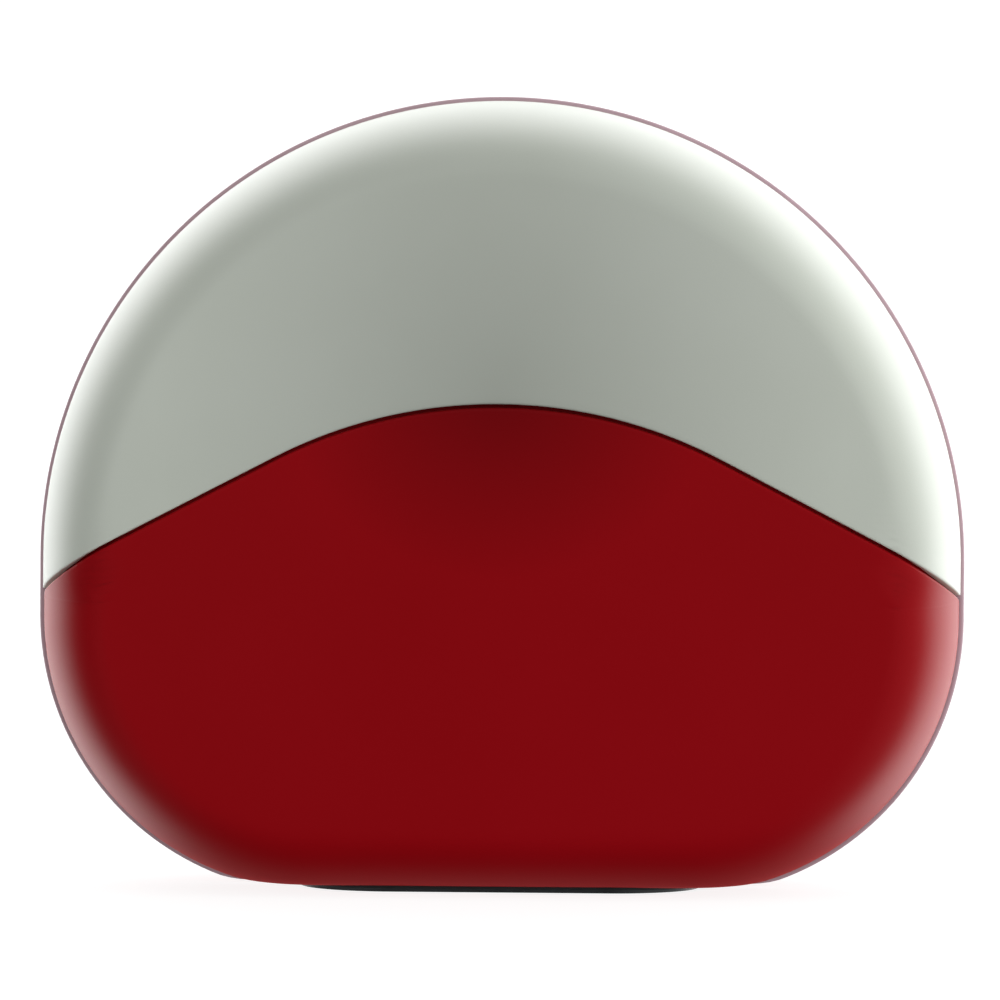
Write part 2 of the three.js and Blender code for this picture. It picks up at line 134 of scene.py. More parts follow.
# %% [markdown]
# ## The form of the body
#
# The outline is drawn with five arcs and lines: a flat bottom, two round lower corners, two short
# flanks and a half-round dome. An elliptical edge rolls from the parting plane onto each face, and
# the faces are crowned by a few millimetres, as moulded shells are so that they don't look sunken.
#
# Such a body could be sculpted or made by subdividing a cage. Here it is a formula with three
# coordinates, because the shells, their lap joint and the rim seal all have to follow one form:
# `around` runs along the outline, `inward` runs from the parting plane over the edge to the middle
# of the face, and `sink` goes down into the wall.

# %% The sizes of the form
shell_low, shell_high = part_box("upper_front_shell")
HALF_WIDTH = (shell_high.x - shell_low.x) / 2
HEIGHT = shell_high.z
HALF_DEPTH = -shell_low.y
PLATE_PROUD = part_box("lower_front_shell")[0].z  # the base plate stands out of the flat underside
CORNER_RADIUS = 22.7 * MM
BASE_CUT = 0.8 * MM  # the flat underside takes this much off the rounded one
EDGE_ROLL = 5.6 * MM
CROWN = 2.6 * MM
WALL = 1.8 * MM

dome_z = HEIGHT - HALF_WIDTH
corner_x = HALF_WIDTH - CORNER_RADIUS
round_bottom = PLATE_PROUD - BASE_CUT
corner_z = round_bottom + CORNER_RADIUS
middle_z = (HEIGHT + round_bottom) / 2
edge_depth = HALF_DEPTH - CROWN

bottom_length = corner_x
corner_length = CORNER_RADIUS * math.pi / 2
flank_length = dome_z - corner_z
dome_start = bottom_length + corner_length + flank_length
outline_length = 2 * dome_start + HALF_WIDTH * math.pi
print("outline:", round(outline_length / MM, 1), "mm")


# %% The outline
def outline(around):
    """Points of the outline and its outward directions, from the middle of the bottom to the right."""
    around = np.asarray(around, float) % outline_length
    mirrored = around > outline_length / 2
    run = np.where(mirrored, outline_length - around, around)
    corner_angle = np.clip((run - bottom_length) / CORNER_RADIUS, 0, math.pi / 2) - math.pi / 2
    dome_angle = np.clip((run - dome_start) / HALF_WIDTH, 0, math.pi / 2)
    angle = corner_angle + dome_angle
    on_dome = run > dome_start
    radius = np.where(on_dome, HALF_WIDTH, CORNER_RADIUS)
    centre_x = np.where(on_dome, 0, np.minimum(run, corner_x))
    flank_rise = np.clip(run - bottom_length - corner_length, 0, flank_length)
    centre_z = np.where(on_dome, dome_z, corner_z + flank_rise)
    side = np.where(mirrored, -1.0, 1.0)
    out_x, out_z = side * np.cos(angle), np.sin(angle)
    return side * centre_x + radius * out_x, centre_z + radius * out_z, out_x, out_z


# %% The surface
FLOOR_ROUND = 0.5 * MM  # how softly the flat base runs into the rounded underside

edge_angles = np.linspace(0, math.pi / 2, 181)
edge_steps = np.hypot(EDGE_ROLL * np.diff(np.cos(edge_angles)), edge_depth * np.diff(np.sin(edge_angles)))
edge_lengths = np.concatenate([[0], np.cumsum(edge_steps)])
edge_length = edge_lengths[-1]


def soft_floor(z, floor):
    """z, but never under the floor, with a rounded change between the two."""
    lift = z - floor
    eased = (lift + FLOOR_ROUND) ** 2 / (4 * FLOOR_ROUND)
    lift = np.where(lift > FLOOR_ROUND, lift, np.where(lift < -FLOOR_ROUND, 0, eased))
    return floor + lift


def face_length(around):
    """How far it is from the edge's end to the middle of the face."""
    x, z, out_x, out_z = outline(around)
    return np.hypot(x - out_x * EDGE_ROLL, z - out_z * EDGE_ROLL - middle_z)


def surface(around, inward, sink, front_or_rear):
    """Points of the body's form. front_or_rear is -1 for the front half and 1 for the rear half."""
    x, z, out_x, out_z = outline(around)
    angle = np.interp(inward, edge_lengths, edge_angles)
    drawn_in = sink + (EDGE_ROLL - sink) * (1 - np.cos(angle))
    x = x - out_x * drawn_in
    z = z - out_z * drawn_in
    shrink = 1 - np.clip((inward - edge_length) / face_length(around), 0, 1)
    x = x * shrink
    z = middle_z + (z - middle_z) * shrink
    from_middle = (x / HALF_WIDTH) ** 2 + ((z - middle_z) / (HEIGHT - middle_z)) ** 2
    y = front_or_rear * (edge_depth - sink + CROWN * (1 - from_middle)) * np.sin(angle)
    return x, y, soft_floor(z, PLATE_PROUD + sink)


# %% [markdown]
# ## The seam
#
# The pale and the red shells meet along a wave: an arch with a straight flank on each side, which
# falls a little more as it goes round the edge to the parting plane. It is written as a height over
# any point, and halving steps find where each line of the surface meets it. A boolean cut would
# leave ragged slivers along the seam, right where a rounded edge has to catch the light.

# %% The seam's height
SEAM_PEAK = 40.3 * MM
SEAM_RADIUS = 39.5 * MM
SEAM_SLOPE = math.radians(27.2)
SEAM_WRAP = math.radians(6)
SEAM_GAP = 0.3 * MM
PARTING_GAP = 0.6 * MM  # from the parting plane to a shell's edge
seam_tangent_x = SEAM_RADIUS * math.sin(SEAM_SLOPE)
rim_inward = np.interp(math.asin(PARTING_GAP / edge_depth), edge_angles, edge_lengths)


def seam_height(x, y):
    x = np.abs(x)
    reach = np.minimum(x, seam_tangent_x)
    arch = SEAM_PEAK - SEAM_RADIUS + np.sqrt(SEAM_RADIUS**2 - reach**2)
    wrap = math.tan(SEAM_WRAP) * (HALF_DEPTH - np.abs(y))
    return arch - (x - reach) * math.tan(SEAM_SLOPE) - wrap


def over_seam(around, inward, offset):
    x, y, z = surface(around, inward, 0, -1)
    return z - seam_height(x, y) - offset


# %% Where the surface's lines meet the seam
def halving(inside, low, high, steps=40):
    """The place between low, which is inside, and high, which isn't, where that changes."""
    for _ in range(steps):
        middle = (low + high) / 2
        kept = inside(middle)
        low = np.where(kept, middle, low)
        high = np.where(kept, high, middle)
    return low


def seam_inward(around, offset):
    """How far inward each line runs before it crosses the seam, moved by an offset in height."""
    low = np.full(len(around), rim_inward)
    return halving(lambda s: over_seam(around, s, offset) > 0, low, edge_length + face_length(around))


def seam_corner(offset):
    """Where the seam ends in the parting plane, on the right."""
    top, bottom = np.array([outline_length / 2]), np.array([bottom_length])
    return float(halving(lambda t: over_seam(t, rim_inward, offset) > 0, top, bottom)[0])


print("seam ends at", round(seam_corner(0) / MM, 1), "mm round the outline")

# %% [markdown]
# ## The shells
#
# Each shell is a thin moulding with a rounded edge all round. At the seam, the lower shell carries
# a lip that stands up behind the upper shell, so the two can't slide past each other and no light
# gets through the groove.
#
# A flat grid is pressed into that shape: its columns go round the outline, and its rows follow
# the wall's section, over the outside, round the edge, along the lap joint and back on the inside.
# This keeps even rows of faces beside every edge. The press moves the grid's points only, so the
# grid operator still makes the faces.

# %% The grid and the press
EDGE_RADIUS = 0.22 * MM
FILLET_STEPS = 4
OUTER_ROWS = 64
INNER_ROWS = 26
COLUMN_STEP = 0.75 * MM
LIP_HEIGHT = 2.6 * MM
LIP_SINK = 1.05 * MM  # the lip is the inner part of the wall
LAP_PLAY = 0.3 * MM
RED_SINK = 0.1 * MM  # the red shells are this much smaller all round, so the pale edge stands proud


def pressed_grid(name, places):
    """A grid with one vertex for each of places, an array of columns of rows of points."""
    columns, rows, _ = places.shape
    bm = bmesh.new()
    bmesh.ops.create_grid(bm, x_segments=columns - 1, y_segments=rows - 1, size=0.5)
    for vert in bm.verts:
        column = round((vert.co.x + 0.5) * (columns - 1))
        row = round((vert.co.y + 0.5) * (rows - 1))
        vert.co = places[column, row]
    bmesh.ops.remove_doubles(bm, verts=bm.verts, dist=0.002 * MM)
    open_edges = [edge for edge in bm.edges if edge.is_boundary]
    if open_edges:
        bmesh.ops.holes_fill(bm, edges=open_edges, sides=0)
    bmesh.ops.recalc_face_normals(bm, faces=bm.faces)
    return made_object(name, bm)


def made_object(name, bm):
    """The finished mesh as an object of its own."""
    mesh = bpy.data.meshes.new(name)
    bm.to_mesh(mesh)
    bm.free()
    piece = bpy.data.objects.new(name, mesh)
    bpy.context.collection.objects.link(piece)
    return piece


# %% The wall's section
quarter = np.linspace(0, math.pi / 2, FILLET_STEPS + 1)
outer_share = np.linspace(0, 1, OUTER_ROWS)
inner_share = np.linspace(0, 1, INNER_ROWS)


def along_seam(around, inward):
    """How much longer a length is along the surface's line than straight across the seam."""
    return np.sqrt(1 + np.gradient(inward, around) ** 2)


def columns_from(start, length):
    """Places along a run, close together at both ends, where the seam meets the rim."""
    near_end = np.geomspace(0.12 * MM, 3 * MM, 12)
    count = int((length - 6 * MM) / COLUMN_STEP)
    between = np.linspace(3 * MM, length - 3 * MM, count)[1:-1]
    return start + np.concatenate([near_end, between, length - near_end[::-1]])


def upper_section(around):
    """Inward and sink of each row of the upper shell's wall, one column for each place."""
    end = seam_inward(around, SEAM_GAP / 2)
    stretch = along_seam(around, end)
    span = end - rim_inward
    rim_round = np.minimum(EDGE_RADIUS, 0.4 * span)
    seam_round = np.minimum(EDGE_RADIUS * stretch, 0.4 * span)
    lap = np.minimum((LIP_HEIGHT + LAP_PLAY) * stretch, 0.9 * span)
    rows = []
    for angle in quarter:
        rows.append((rim_inward + rim_round * (1 - math.cos(angle)), EDGE_RADIUS * (1 - math.sin(angle))))
    for share in outer_share[1:-1]:
        rows.append((rim_inward + rim_round + share * (span - rim_round - seam_round), 0))
    for angle in quarter:
        rows.append((end - seam_round * (1 - math.sin(angle)), EDGE_RADIUS * (1 - math.cos(angle))))
    lap_sink = LIP_SINK - LAP_PLAY
    rows += [(end, lap_sink), (end - lap, lap_sink)]
    for share in inner_share:
        rows.append((end - lap - share * (span - lap), WALL))
    rows.append(rows[0])
    return rows


def lower_section(around, has_seam, end):
    """Inward and sink of each row of the lower shell's wall, from the middle out and back in."""
    stretch = np.where(has_seam, along_seam(around, end), 1)
    edge_round = EDGE_RADIUS * np.minimum(stretch, 4)
    pole = edge_length + face_length(around)
    lip = np.where(has_seam, LIP_HEIGHT * stretch, 0)
    lip = np.minimum(lip, np.maximum(end - rim_inward - LAP_PLAY, 0))
    rows = []
    for share in outer_share:
        rows.append((pole + share * (end + edge_round - pole), RED_SINK))
    for angle in quarter[1:]:
        sink = RED_SINK + EDGE_RADIUS * (1 - math.cos(angle))
        rows.append((end + edge_round * (1 - math.sin(angle)), sink))
    rows += [(end, LIP_SINK), (end - lip, LIP_SINK)]
    for share in inner_share:
        rows.append((end - lip + share * (pole - end + lip), WALL))
    return rows


def pressed_places(around, rows, front_or_rear):
    places = []
    for inward, sink in rows:
        x, y, z = surface(around, np.broadcast_to(inward, around.shape), sink, front_or_rear)
        places.append(np.stack([x, y, z], axis=1))
    return np.stack(places, axis=1)


# %% Press the four shells
def upper_shell(name, front_or_rear):
    corner = seam_corner(SEAM_GAP / 2)
    around = columns_from(corner, outline_length - 2 * corner)
    return pressed_grid(name, pressed_places(around, upper_section(around), front_or_rear))


def lower_shell(name, front_or_rear):
    corner = seam_corner(-SEAM_GAP / 2)
    with_seam = columns_from(corner, outline_length - 2 * corner)
    plain = columns_from(-corner, 2 * corner)
    around = np.concatenate([plain, with_seam, plain[:1] + outline_length])
    has_seam = np.zeros(len(around), bool)
    has_seam[len(plain):-1] = True
    end = np.full(len(around), rim_inward)
    end[has_seam] = seam_inward(with_seam, -SEAM_GAP / 2)
    return pressed_grid(name, pressed_places(around, lower_section(around, has_seam, end), front_or_rear))


FRONT, REAR = -1, 1
shells = {
    "upper_front_shell": upper_shell("pale_front_shell", FRONT),
    "upper_rear_shell": upper_shell("pale_rear_shell", REAR),
    "lower_front_shell": lower_shell("red_front_shell", FRONT),
    "lower_rear_shell": lower_shell("red_rear_shell", REAR),
}
for node, piece in shells.items():
    print(piece.name, len(piece.data.polygons), "faces")

# %% [markdown]
# ## Cutting and joining
#
# The shells also need screw posts on the inside, recesses in the rear for the screw heads, and an
# opening in the base. These meet the curved wall at places that no row of the grid follows, so a
# Boolean modifier joins and cuts them, as a mould's core pins do. The tools are turned and
# extruded shapes that are thrown away afterwards.

# %% Boolean helpers
def bar(radius, start, end, along="Z", at=(0, 0), sides=64):
    """A closed round bar from start to end along Z or Y, at a place across that direction."""
    bm = bmesh.new()
    bmesh.ops.create_cone(
        bm, cap_ends=True, segments=sides, radius1=radius, radius2=radius, depth=end - start
    )
    bmesh.ops.translate(bm, verts=bm.verts, vec=(0, 0, (start + end) / 2))
    if along == "Y":
        turn_over = Matrix.Rotation(math.radians(-90), 3, "X")
        bmesh.ops.rotate(bm, verts=bm.verts, matrix=turn_over)
        bmesh.ops.translate(bm, verts=bm.verts, vec=(at[0], 0, at[1]))
    else:
        bmesh.ops.translate(bm, verts=bm.verts, vec=(at[0], at[1], 0))
    return made_object("tool", bm)


def stadium(half_length, half_width, start, end, sides=64):
    """A flat bar with round ends: a circle cut in two and drawn apart, then extruded."""
    bm = bmesh.new()
    bmesh.ops.create_circle(bm, cap_ends=True, segments=sides, radius=half_width)
    bmesh.ops.rotate(bm, verts=bm.verts, matrix=Matrix.Rotation(math.pi / sides, 3, "Z"))
    for vert in bm.verts:
        vert.co.x += math.copysign(half_length - half_width, vert.co.x)
        vert.co.z = start
    grown = bmesh.ops.extrude_face_region(bm, geom=bm.faces[:])
    tops = [item for item in grown["geom"] if isinstance(item, bmesh.types.BMVert)]
    bmesh.ops.translate(bm, verts=tops, vec=(0, 0, end - start))
    bmesh.ops.recalc_face_normals(bm, faces=bm.faces)
    return made_object("tool", bm)


def applied(piece):
    """Makes the piece's modifiers final."""
    depsgraph = bpy.context.evaluated_depsgraph_get()
    mesh = bpy.data.meshes.new_from_object(piece.evaluated_get(depsgraph))
    piece.modifiers.clear()
    piece.data = mesh
    mesh.name = piece.name
    return piece


def combined(piece, operation, *tools):
    """The piece with each tool joined to it or cut from it."""
    for tool in tools:
        step = piece.modifiers.new("cut", "BOOLEAN")
        step.operation = operation
        step.solver = "MANIFOLD"
        step.object = tool
        applied(piece)
        bpy.data.objects.remove(tool)
    return piece


def smoothed(piece, sharp=35):
    """Smooth shading, with a crisp line wherever the surface turns by more than an angle."""
    piece.data.shade_smooth()
    piece.data.set_sharp_from_angle(angle=math.radians(sharp))
    return piece


# %% Posts, screw recesses and the base opening
POST_START = 1.5 * MM
FRONT_POST_RADIUS = 3 * MM
REAR_POST_RADIUS = 3.8 * MM
SCREW_SHAFT = 1.25 * MM
SCREW_HEAD = 2.2 * MM
SLIDING_FIT = 0.2 * MM
HEAD_ROOM = 0.3 * MM
BLIND_END = 1 * MM
PAST = 6 * MM  # well past the surface

screw_nodes = [f"shell_screw_{i}" for i in range(1, 5)]
screw_places = {}
for node in screw_nodes:
    low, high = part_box(node)
    screw_places[node] = ((low.x + high.x) / 2, (low.z + high.z) / 2)
screw_low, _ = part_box("shell_screw_1")
seat_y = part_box("screw_washer_1")[0].y - SLIDING_FIT
print("screw seats at", round(seat_y / MM, 2), "mm")

for node, piece in shells.items():
    is_upper = node.startswith("upper")
    is_front = "front" in node
    own_screws = screw_nodes[:2] if is_upper else screw_nodes[2:]
    for screw in own_screws:
        place = screw_places[screw]
        if is_front:
            post = bar(FRONT_POST_RADIUS, -edge_depth, -POST_START, "Y", place)
            hole = bar(SCREW_SHAFT + SLIDING_FIT, screw_low.y - BLIND_END, 0, "Y", place)
            combined(piece, "UNION", post)
            combined(piece, "DIFFERENCE", hole)
        else:
            post = bar(REAR_POST_RADIUS, POST_START, edge_depth, "Y", place)
            hole = bar(SCREW_SHAFT + SLIDING_FIT, 0, edge_depth + PAST, "Y", place)
            recess = bar(SCREW_HEAD + HEAD_ROOM, seat_y, edge_depth + PAST, "Y", place)
            combined(piece, "UNION", post)
            combined(piece, "DIFFERENCE", hole, recess)
    if not is_upper:
        low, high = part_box("base_seal")
        opening = stadium(high.x + SLIDING_FIT, high.y + SLIDING_FIT, -PAST, high.z + PAST)
        combined(piece, "DIFFERENCE", opening)
    smoothed(piece)
    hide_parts(node)
    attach(piece, "hull")
    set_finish(piece, "pale_shell" if is_upper else "red_shell")
    print(piece.name, len(piece.data.polygons), "faces")

# %% [markdown]
# ## The rim seal
#
# A soft strip runs round the widest section, held between the front and rear shells, with a
# half-round bead that stands just proud of them. It starts and ends at the base plate. It could
# be a curve with a profile, but the press already knows the outline, so the same grid makes it
# with its section as rows.

# %% Press the rim seal
SEAL_HALF = 0.4 * MM
SEAL_PROUD = 0.3 * MM
SEAL_DEPTH = 2.6 * MM
SEAL_COLUMN_STEP = 0.8 * MM
opening_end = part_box("base_seal")[1].x + SLIDING_FIT

seal_count = int((outline_length - 2 * opening_end) / SEAL_COLUMN_STEP)
seal_around = np.linspace(opening_end, outline_length - opening_end, seal_count)
bead_angles = np.linspace(-math.pi / 2, math.pi / 2, 9)
seal_section = [(SEAL_HALF * math.sin(a), SEAL_HALF * (1 - math.cos(a)) - SEAL_PROUD) for a in bead_angles]
seal_section += [(SEAL_HALF, SEAL_DEPTH), (-SEAL_HALF, SEAL_DEPTH)]
seal_section.append(seal_section[0])
x, z, out_x, out_z = outline(seal_around)
seal_rows = []
for y, sink in seal_section:
    row_z = soft_floor(z - out_z * sink, PLATE_PROUD)
    seal_rows.append(np.stack([x - out_x * sink, np.full_like(x, y), row_z], axis=1))
seal_places = np.stack(seal_rows, axis=1)
rim_seal = smoothed(pressed_grid("rim_seal_bead", seal_places))
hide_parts("rim_seal")
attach(rim_seal, "hull")
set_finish(rim_seal, "rim_elastomer")
print("rim seal:", len(rim_seal.data.polygons), "faces")

# %% [markdown]
# ## The base plate
#
# The plate that the float stands on is one moulding with the well that holds the line button. It
# has two screw standoffs, and a wider mouth for the ring that stops the button. Round moulded
# parts like this are built from bars, joined and cut in the order a toolmaker would think of
# them, and a Bevel modifier then breaks every edge, because no moulding has a knife edge.

# %% Bevel helper
def broken_edges(piece, width, segments=3, limit=40):
    """Rounds every edge that is sharper than the limit, and makes that final."""
    step = piece.modifiers.new("broken edges", "BEVEL")
    step.width = width
    step.segments = segments
    step.limit_method = "ANGLE"
    step.angle_limit = math.radians(limit)
    step.use_clamp_overlap = True
    step.harden_normals = False
    return smoothed(applied(piece))


def part(piece, name, node, slot, body="hull"):
    """Names a finished part and puts it in the place of its CAD node."""
    piece.name = name
    piece.data.name = name
    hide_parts(node)
    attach(piece, body)
    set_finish(piece, slot)
    print(name, len(piece.data.polygons), "faces")
    return piece


# %% The base plate, its seal and its screws
WELL_RADIUS = 6.2 * MM
WELL_WALL = 1 * MM
WELL_ROOF = 1.4 * MM
PLATE_THICKNESS = 1.8 * MM
STANDOFF_RADIUS = 3 * MM
BASE_SCREW_HEAD = 2 * MM
BASE_SCREW_SHAFT = 1.1 * MM
SOCKET_DEPTH = 0.8 * MM

_, plate_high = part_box("base_plate")
seal_low, seal_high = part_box("base_seal")
ring_low, ring_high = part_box("button_stop_ring")
_, tube_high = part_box("guide_tube")
ballast_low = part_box("ballast_weight")[0]
base_screw_low, base_screw_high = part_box("base_screw_right")
base_screw_x = (base_screw_low.x + base_screw_high.x) / 2
mouth_radius = ring_high.x + SLIDING_FIT
standoff_top = ballast_low.z - HEAD_ROOM

base_plate = stadium(plate_high.x, plate_high.y, 0, PLATE_THICKNESS)
combined(base_plate, "UNION", bar(WELL_RADIUS + WELL_WALL, PLATE_THICKNESS / 2, plate_high.z))
for x in (-base_screw_x, base_screw_x):
    combined(base_plate, "UNION", bar(STANDOFF_RADIUS, PLATE_THICKNESS / 2, standoff_top, at=(x, 0)))
combined(
    base_plate,
    "DIFFERENCE",
    bar(WELL_RADIUS, -PAST, plate_high.z - WELL_ROOF),
    bar(mouth_radius, -PAST, PLATE_THICKNESS),
    bar(tube_high.x + SLIDING_FIT, 0, plate_high.z + PAST),
)
for x in (-base_screw_x, base_screw_x):
    combined(
        base_plate,
        "DIFFERENCE",
        bar(BASE_SCREW_SHAFT + SLIDING_FIT, -PAST, PAST, at=(x, 0)),
        bar(BASE_SCREW_HEAD + HEAD_ROOM, -PAST, PLATE_THICKNESS, at=(x, 0)),
    )
base_plate = part(broken_edges(base_plate, 0.18 * MM), "standing_plate", "base_plate", "black_plastic")

base_seal = stadium(seal_high.x, seal_high.y, seal_low.z, seal_high.z)
seal_hole = stadium(plate_high.x + SLIDING_FIT, plate_high.y + SLIDING_FIT, -PAST, PAST)
combined(base_seal, "DIFFERENCE", seal_hole)
base_seal = part(broken_edges(base_seal, 0.12 * MM), "plate_ring_seal", "base_seal", "seal_rubber")

# %% [markdown]
# ## Screws
#
# All the screws are stainless socket-head screws with a hexagon in the head. The head is turned
# and the socket is pressed in, so the rim is rounded and the socket is crisp. Each one is a bar
# with a thinner bar joined to it and a six-sided bar cut from it.

# %% The shell screws, their washers and the base screws
HEAD_HEIGHT = 1.5 * MM


def socket_screw(head_radius, shaft_radius, tip, head_bottom, head_top, along, at):
    """A screw whose head is at head_top, which may be the lower end, on a shaft that ends at tip."""
    up = 1 if head_top > head_bottom else -1
    ends = sorted((head_bottom, head_top))
    screw = bar(head_radius, ends[0], ends[1], along, at, sides=48)
    shaft_ends = sorted((tip, head_top - up * SOCKET_DEPTH / 2))
    shaft = bar(shaft_radius, shaft_ends[0], shaft_ends[1], along, at, sides=32)
    combined(screw, "UNION", shaft)
    socket_ends = sorted((head_top - up * SOCKET_DEPTH, head_top + up * PAST))
    combined(screw, "DIFFERENCE", bar(head_radius / 2, socket_ends[0], socket_ends[1], along, at, sides=6))
    return broken_edges(screw, 0.12 * MM)


for number, node in enumerate(screw_nodes, 1):
    low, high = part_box(node)
    place = screw_places[node]
    screw = socket_screw(SCREW_HEAD, SCREW_SHAFT, low.y, high.y - HEAD_HEIGHT, high.y, "Y", place)
    part(screw, f"rear_screw_{number}", node, "stainless")
    washer_node = f"screw_washer_{number}"
    low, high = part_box(washer_node)
    washer = bar(SCREW_HEAD, low.y, high.y, "Y", place, sides=48)
    combined(washer, "DIFFERENCE", bar(SCREW_SHAFT + SLIDING_FIT, 0, high.y + PAST, "Y", place, sides=32))
    part(broken_edges(washer, 0.1 * MM), f"sealing_washer_{number}", washer_node, "seal_rubber")

for side, x in (("left", -base_screw_x), ("right", base_screw_x)):
    low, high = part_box(f"base_screw_{side}")
    screw = socket_screw(
        BASE_SCREW_HEAD, BASE_SCREW_SHAFT, high.z, PLATE_THICKNESS - SLIDING_FIT, low.z, "Z", (x, 0)
    )
    part(screw, f"plate_screw_{side}", f"base_screw_{side}", "stainless")

# %% [markdown]
# ## The line clip
#
# The line lies in the hook's bend. The white button closes round it from below, and when it is
# pushed up against its spring the bend comes free. The hook is one length of stainless wire, so it
# is made as wire is bent: a round section is extruded down, spun round the bend and extruded up to
# the tip. The button is rounded first and slotted afterwards, as a turned part is milled, so that
# no rounding reaches into the slot that the wire passes through.

# %% The hook
WIRE_RADIUS = 0.8 * MM
BEND_RADIUS = 1.9 * MM
WIRE_SIDES = 24
BEND_STEPS = 24

rod_low, rod_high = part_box("hook_rod")
bend_z = rod_low.z + WIRE_RADIUS + BEND_RADIUS
tip_length = 2.1 * MM


def extruded(bm, faces, vec):
    """Extrudes faces and moves the new end. Gives the new end's faces."""
    grown = bmesh.ops.extrude_face_region(bm, geom=faces)["geom"]
    verts = [item for item in grown if isinstance(item, bmesh.types.BMVert)]
    bmesh.ops.translate(bm, verts=verts, vec=vec)
    bmesh.ops.delete(bm, geom=faces, context="FACES_ONLY")
    return [item for item in grown if isinstance(item, bmesh.types.BMFace)]


bm = bmesh.new()
bmesh.ops.create_circle(bm, cap_ends=True, segments=WIRE_SIDES, radius=WIRE_RADIUS)
bmesh.ops.translate(bm, verts=bm.verts, vec=(0, 0, rod_high.z))
top_copy = bmesh.ops.duplicate(bm, geom=bm.faces[:])["geom"]
top_faces = [item for item in top_copy if isinstance(item, bmesh.types.BMFace)]
first_faces = [face for face in bm.faces if face not in top_faces]
end_faces = extruded(bm, first_faces, (0, 0, bend_z - rod_high.z))
spun = bmesh.ops.spin(
    bm,
    geom=end_faces,
    cent=(BEND_RADIUS, 0, bend_z),
    axis=(0, -1, 0),
    angle=math.pi,
    steps=BEND_STEPS,
)
bmesh.ops.delete(bm, geom=end_faces, context="FACES_ONLY")
end_faces = [item for item in spun["geom_last"] if isinstance(item, bmesh.types.BMFace)]
extruded(bm, end_faces, (0, 0, tip_length))
bmesh.ops.remove_doubles(bm, verts=bm.verts, dist=0.001 * MM)
bmesh.ops.recalc_face_normals(bm, faces=bm.faces)
hook = made_object("hook", bm)
hook = broken_edges(hook, 0.25 * MM, segments=4, limit=60)
part(hook, "wire_hook", "hook_rod", "stainless", "line_hook")

# %% The button and its stop ring
BUTTON_RADIUS = 5.9 * MM
NOSE_RADIUS = 5.2 * MM
NOSE_TOP = 1.9 * MM
SPIGOT_RADIUS = 3 * MM
SPIGOT_HEIGHT = 1 * MM
HOLE_RADIUS = WIRE_RADIUS + 0.35 * MM
TIP_HOLE_RADIUS = WIRE_RADIUS + 0.15 * MM
SLOT_HALF = WIRE_RADIUS + SLIDING_FIT

button_low, button_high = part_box("line_button")
button_top = button_high.z - SPIGOT_HEIGHT
tip_x = 2 * BEND_RADIUS
tip_z = bend_z + tip_length

button = bar(NOSE_RADIUS, button_low.z, button_top)
combined(
    button,
    "UNION",
    bar(BUTTON_RADIUS, NOSE_TOP, button_top),
    bar(SPIGOT_RADIUS, button_top - SPIGOT_HEIGHT, button_high.z),
)
broken_edges(button, 0.22 * MM)


def block(low, high):
    """A box between two corners."""
    bm = bmesh.new()
    bmesh.ops.create_cube(bm, size=1)
    size = [b - a for a, b in zip(low, high)]
    middle = [(a + b) / 2 for a, b in zip(low, high)]
    bmesh.ops.scale(bm, verts=bm.verts, vec=size)
    bmesh.ops.translate(bm, verts=bm.verts, vec=middle)
    return made_object("tool", bm)


combined(
    button,
    "DIFFERENCE",
    block((0, -SLOT_HALF, -PAST), (BUTTON_RADIUS + PAST, SLOT_HALF, bend_z + WIRE_RADIUS)),
    bar(HOLE_RADIUS, -PAST, button_high.z + PAST, sides=40),
    bar(TIP_HOLE_RADIUS, -PAST, tip_z + HEAD_ROOM, at=(tip_x, 0), sides=40),
)
button = part(smoothed(button), "sprung_button", "line_button", "white_acetal", "button")

stop_ring = bar(ring_high.x, ring_low.z, ring_high.z)
combined(stop_ring, "DIFFERENCE", bar(NOSE_RADIUS + HEAD_ROOM, -PAST, PAST))
part(broken_edges(stop_ring, 0.18 * MM), "button_stop", "button_stop_ring", "black_plastic")

# %% The spring
# A round section spun round the well's axis while it rises: the spin operator's own screw.
COIL_RADIUS = 4 * MM
COIL_WIRE = 0.3 * MM
COIL_TURNS = 6
COIL_STEPS = 32  # for one turn

spring_low, spring_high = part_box("button_spring")
spring_rise = spring_high.z - spring_low.z - 2 * COIL_WIRE
bm = bmesh.new()
bmesh.ops.create_circle(bm, cap_ends=True, segments=10, radius=COIL_WIRE)
bmesh.ops.rotate(bm, verts=bm.verts, matrix=Matrix.Rotation(math.pi / 2, 3, "X"))
bmesh.ops.translate(bm, verts=bm.verts, vec=(COIL_RADIUS, 0, spring_low.z + COIL_WIRE))
first_faces = bm.faces[:]
steps = COIL_TURNS * COIL_STEPS
bmesh.ops.spin(
    bm,
    geom=first_faces,
    cent=(0, 0, 0),
    axis=(0, 0, 1),
    dvec=(0, 0, spring_rise / steps),
    angle=2 * math.pi * COIL_TURNS,
    steps=steps,
)
bmesh.ops.remove_doubles(bm, verts=bm.verts, dist=0.001 * MM)
bmesh.ops.recalc_face_normals(bm, faces=bm.faces)
spring = made_object("spring", bm)
spring = part(smoothed(spring, 60), "coil_spring", "button_spring", "stainless")
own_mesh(spring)

# %% [markdown]
# ## Finishes
#
# Every material starts from what the real one is and how its surface was made. One function adds a
# node with its settings and links, and one turns a colour as written on a swatch into the linear
# values that the renderer works in.

# %% Material helpers
def linear(swatch):
    """An sRGB colour such as '9c0f18' as linear red, green, blue and alpha."""
    values = [int(swatch[i:i + 2], 16) / 255 for i in (0, 2, 4)]
    return [v / 12.92 if v <= 0.04045 else ((v + 0.055) / 1.055) ** 2.4 for v in values] + [1]


